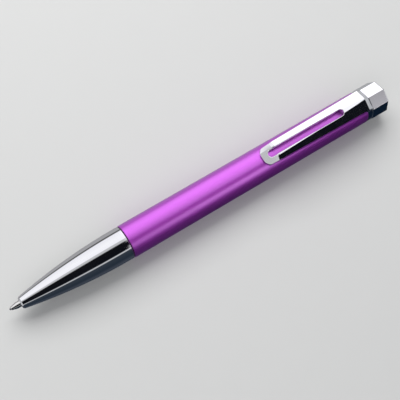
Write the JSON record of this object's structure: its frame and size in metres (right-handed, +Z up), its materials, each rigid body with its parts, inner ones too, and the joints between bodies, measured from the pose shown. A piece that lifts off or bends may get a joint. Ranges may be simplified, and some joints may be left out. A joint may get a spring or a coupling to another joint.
{
  "type": "retractable ballpoint pen",
  "caption": "Slim metal ballpoint pen with a tapered chrome nose, a round satin barrel, a slotted chrome pocket clip and a faceted chrome twist cap.",
  "frame": {"origin": "middle of the pen's length, on the surface it lies on: the bottom centre of its bounding box", "axes": "+X along the pen from the writing tip to the cap, +Z up towards the clip, +Y to the left seen from behind the cap looking to the tip"},
  "size_m": [0.137, 0.0112, 0.0133],
  "materials": {
    "chrome": "polished",
    "anodised_purple": "satin anodised",
    "black_rubber": "matte",
    "brass": "machined",
    "white_plastic": "moulded",
    "black_plastic": "moulded",
    "spring_steel": "drawn wire",
    "nickel_brass": "nickel plated",
    "clear_plastic": "clear tube",
    "blue_ink": "wet",
    "grease": "translucent grease",
    "carbide": "polished"
  },
  "bodies": {
    "barrel_body": {"barrel": "anodised_purple", "nose_cone": "chrome", "joint_ring": "black_rubber", "threaded_insert": "brass", "mechanism_housing": "white_plastic", "clip_collar": "chrome", "stem_bushing": "black_plastic", "return_spring": "spring_steel"},
    "cap_body": {"cap": "chrome", "cap_core": "brass", "cam_rotor": "black_plastic", "retaining_ring": "spring_steel", "friction_ring": "black_rubber"},
    "refill_body": {"refill_tip": "nickel_brass", "refill_tube": "clear_plastic", "ink_column": "blue_ink", "grease_plug": "grease", "refill_end_plug": "white_plastic", "cam_follower": "brass", "follower_pin": "spring_steel"},
    "ball_body": {"writing_ball": "carbide"},
    "clip_body": {"clip": "chrome"}
  },
  "joints": [
    {"name": "cap_twist", "type": "hinge", "parent": "barrel_body", "child": "cap_body", "pos_m": [0.06445, 0, 0.00562], "axis": [1, 0, 0], "range_deg": [0, 180]},
    {"name": "refill_slide", "type": "slide", "parent": "barrel_body", "child": "refill_body", "axis": [1, 0, 0], "range_m": [0, 0.006], "deforming": ["return_spring"]},
    {"name": "ball_roll", "type": "hinge", "parent": "refill_body", "child": "ball_body", "pos_m": [-0.0682, 0, 0.00562], "axis": [0, 1, 0], "continuous": true},
    {"name": "clip_flex", "type": "hinge", "parent": "barrel_body", "child": "clip_body", "pos_m": [0.06055, 0, 0.01012], "axis": [0, 1, 0], "range_deg": [0, 4], "stiffness_Nm_per_rad": 6}
  ],
  "couplings": [
    {"joint": "cap_twist", "follows": "refill_slide", "rad_per_m": 523.6}
  ]
}
